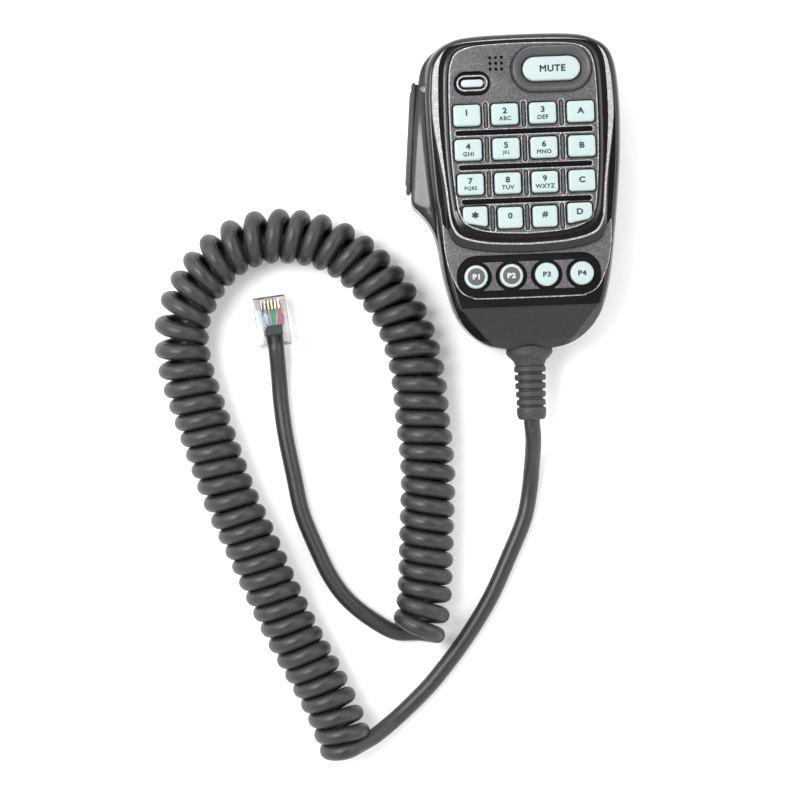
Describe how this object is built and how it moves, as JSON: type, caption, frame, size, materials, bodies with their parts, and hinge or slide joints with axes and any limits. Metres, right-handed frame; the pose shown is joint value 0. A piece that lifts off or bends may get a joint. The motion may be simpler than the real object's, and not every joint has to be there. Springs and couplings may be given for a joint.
{
  "type": "hand microphone",
  "caption": "Hand microphone with a telephone-style keypad, mute and programmable keys, side push-to-talk lever, curly cord and modular plug.",
  "frame": {"origin": "centre of the hang-up stud's outer face, on the surface that the microphone lies on", "axes": "+X to the case's right seen from the keys, +Y towards the case's top end, +Z out of the key side"},
  "size_m": [0.1388, 0.2097, 0.0305],
  "materials": {
    "case_black": "gloss",
    "shell_black": "satin",
    "panel_grey": "fine texture",
    "key_mint": "satin",
    "key_grey": "satin",
    "lens_white": "frosted",
    "rubber_black": "matte",
    "cord_black": "satin",
    "steel": "satin",
    "gold": "polished",
    "plug_clear": "gloss",
    "board_green": "solder mask",
    "silicone_grey": "matte",
    "chip_black": "matte",
    "led_white": "matte",
    "felt_black": "felt",
    "switch_red": "satin",
    "wire_colours": "satin"
  },
  "bodies": {
    "mic": {"front_case": "case_black", "rear_case": "shell_black", "keypad_panel": "panel_grey", "p_key_panel": "panel_grey", "mute_bezel": "case_black", "status_bezel": "case_black", "status_lens": "lens_white", "ptt_pin": "steel", "ptt_spring": "steel", "ptt_switch": "chip_black", "keypad_mat": "silicone_grey", "main_board": "board_green", "dome_switches": "steel", "board_screws": "steel", "mic_capsule": "steel", "mic_boot": "rubber_black", "mic_felt": "felt_black", "status_led": "led_white", "backlight_leds": "led_white", "controller_chip": "chip_black", "cord_header": "led_white", "cord_clamp": "shell_black", "case_screws": "steel", "hang_stud": "shell_black", "stud_screw": "steel", "strain_relief": "rubber_black", "cord_lead": "cord_black", "cord_curl": "cord_black", "cord_tail": "cord_black", "plug_body": "plug_clear", "plug_contacts": "gold", "plug_wires": "wire_colours", "plug_wedge": "chip_black"},
    "key_1": {"key_1": "key_mint"},
    "key_2": {"key_2": "key_mint"},
    "key_3": {"key_3": "key_mint"},
    "key_a": {"key_a": "key_mint"},
    "key_4": {"key_4": "key_mint"},
    "key_5": {"key_5": "key_mint"},
    "key_6": {"key_6": "key_mint"},
    "key_b": {"key_b": "key_mint"},
    "key_7": {"key_7": "key_mint"},
    "key_8": {"key_8": "key_mint"},
    "key_9": {"key_9": "key_mint"},
    "key_c": {"key_c": "key_mint"},
    "key_star": {"key_star": "key_mint"},
    "key_0": {"key_0": "key_mint"},
    "key_hash": {"key_hash": "key_mint"},
    "key_d": {"key_d": "key_mint"},
    "key_mute": {"key_mute": "key_mint"},
    "key_p1": {"key_p1": "key_grey"},
    "key_p2": {"key_p2": "key_grey"},
    "key_p3": {"key_p3": "key_mint"},
    "key_p4": {"key_p4": "key_mint"},
    "ptt": {"ptt_lever": "shell_black", "ptt_grip": "rubber_black"},
    "ptt_plunger": {"ptt_plunger": "switch_red"},
    "plug_latch": {"plug_latch": "plug_clear"}
  },
  "joints": [
    {"name": "press_key_1", "type": "slide", "parent": "mic", "child": "key_1", "axis": [0, 0, -1], "range_m": [0, 0.0008], "stiffness_N_per_m": 400, "springref_m": -0.001},
    {"name": "press_key_2", "type": "slide", "parent": "mic", "child": "key_2", "axis": [0, 0, -1], "range_m": [0, 0.0008], "stiffness_N_per_m": 400, "springref_m": -0.001},
    {"name": "press_key_3", "type": "slide", "parent": "mic", "child": "key_3", "axis": [0, 0, -1], "range_m": [0, 0.0008], "stiffness_N_per_m": 400, "springref_m": -0.001},
    {"name": "press_key_a", "type": "slide", "parent": "mic", "child": "key_a", "axis": [0, 0, -1], "range_m": [0, 0.0008], "stiffness_N_per_m": 400, "springref_m": -0.001},
    {"name": "press_key_4", "type": "slide", "parent": "mic", "child": "key_4", "axis": [0, 0, -1], "range_m": [0, 0.0008], "stiffness_N_per_m": 400, "springref_m": -0.001},
    {"name": "press_key_5", "type": "slide", "parent": "mic", "child": "key_5", "axis": [0, 0, -1], "range_m": [0, 0.0008], "stiffness_N_per_m": 400, "springref_m": -0.001},
    {"name": "press_key_6", "type": "slide", "parent": "mic", "child": "key_6", "axis": [0, 0, -1], "range_m": [0, 0.0008], "stiffness_N_per_m": 400, "springref_m": -0.001},
    {"name": "press_key_b", "type": "slide", "parent": "mic", "child": "key_b", "axis": [0, 0, -1], "range_m": [0, 0.0008], "stiffness_N_per_m": 400, "springref_m": -0.001},
    {"name": "press_key_7", "type": "slide", "parent": "mic", "child": "key_7", "axis": [0, 0, -1], "range_m": [0, 0.0008], "stiffness_N_per_m": 400, "springref_m": -0.001},
    {"name": "press_key_8", "type": "slide", "parent": "mic", "child": "key_8", "axis": [0, 0, -1], "range_m": [0, 0.0008], "stiffness_N_per_m": 400, "springref_m": -0.001},
    {"name": "press_key_9", "type": "slide", "parent": "mic", "child": "key_9", "axis": [0, 0, -1], "range_m": [0, 0.0008], "stiffness_N_per_m": 400, "springref_m": -0.001},
    {"name": "press_key_c", "type": "slide", "parent": "mic", "child": "key_c", "axis": [0, 0, -1], "range_m": [0, 0.0008], "stiffness_N_per_m": 400, "springref_m": -0.001},
    {"name": "press_key_star", "type": "slide", "parent": "mic", "child": "key_star", "axis": [0, 0, -1], "range_m": [0, 0.0008], "stiffness_N_per_m": 400, "springref_m": -0.001},
    {"name": "press_key_0", "type": "slide", "parent": "mic", "child": "key_0", "axis": [0, 0, -1], "range_m": [0, 0.0008], "stiffness_N_per_m": 400, "springref_m": -0.001},
    {"name": "press_key_hash", "type": "slide", "parent": "mic", "child": "key_hash", "axis": [0, 0, -1], "range_m": [0, 0.0008], "stiffness_N_per_m": 400, "springref_m": -0.001},
    {"name": "press_key_d", "type": "slide", "parent": "mic", "child": "key_d", "axis": [0, 0, -1], "range_m": [0, 0.0008], "stiffness_N_per_m": 400, "springref_m": -0.001},
    {"name": "press_key_mute", "type": "slide", "parent": "mic", "child": "key_mute", "axis": [0, 0, -1], "range_m": [0, 0.0008], "stiffness_N_per_m": 400, "springref_m": -0.001},
    {"name": "press_key_p1", "type": "slide", "parent": "mic", "child": "key_p1", "axis": [0, 0, -1], "range_m": [0, 0.0008], "stiffness_N_per_m": 400, "springref_m": -0.001},
    {"name": "press_key_p2", "type": "slide", "parent": "mic", "child": "key_p2", "axis": [0, 0, -1], "range_m": [0, 0.0008], "stiffness_N_per_m": 400, "springref_m": -0.001},
    {"name": "press_key_p3", "type": "slide", "parent": "mic", "child": "key_p3", "axis": [0, 0, -1], "range_m": [0, 0.0008], "stiffness_N_per_m": 400, "springref_m": -0.001},
    {"name": "press_key_p4", "type": "slide", "parent": "mic", "child": "key_p4", "axis": [0, 0, -1], "range_m": [0, 0.0008], "stiffness_N_per_m": 400, "springref_m": -0.001},
    {"name": "ptt_pivot", "type": "hinge", "parent": "mic", "child": "ptt", "pos_m": [-0.0283, 0.0212, 0.014], "axis": [0, 0, 1], "range_deg": [0, 3.5], "stiffness_Nm_per_rad": 0.5, "springref_deg": -3.44, "deforming": ["ptt_spring"]},
    {"name": "ptt_plunger_slide", "type": "slide", "parent": "mic", "child": "ptt_plunger", "axis": [1, 0, 0], "range_m": [0, 0.0015]},
    {"name": "plug_latch_flex", "type": "hinge", "parent": "mic", "child": "plug_latch", "pos_m": [-0.0761, -0.03792, 0.00062], "axis": [-0.9945, -0.1045, 0], "range_deg": [0, 6], "stiffness_Nm_per_rad": 0.05, "springref_deg": -2.86}
  ],
  "couplings": [
    {"joint": "ptt_plunger_slide", "follows": "ptt_pivot", "m_per_rad": 0.024}
  ]
}
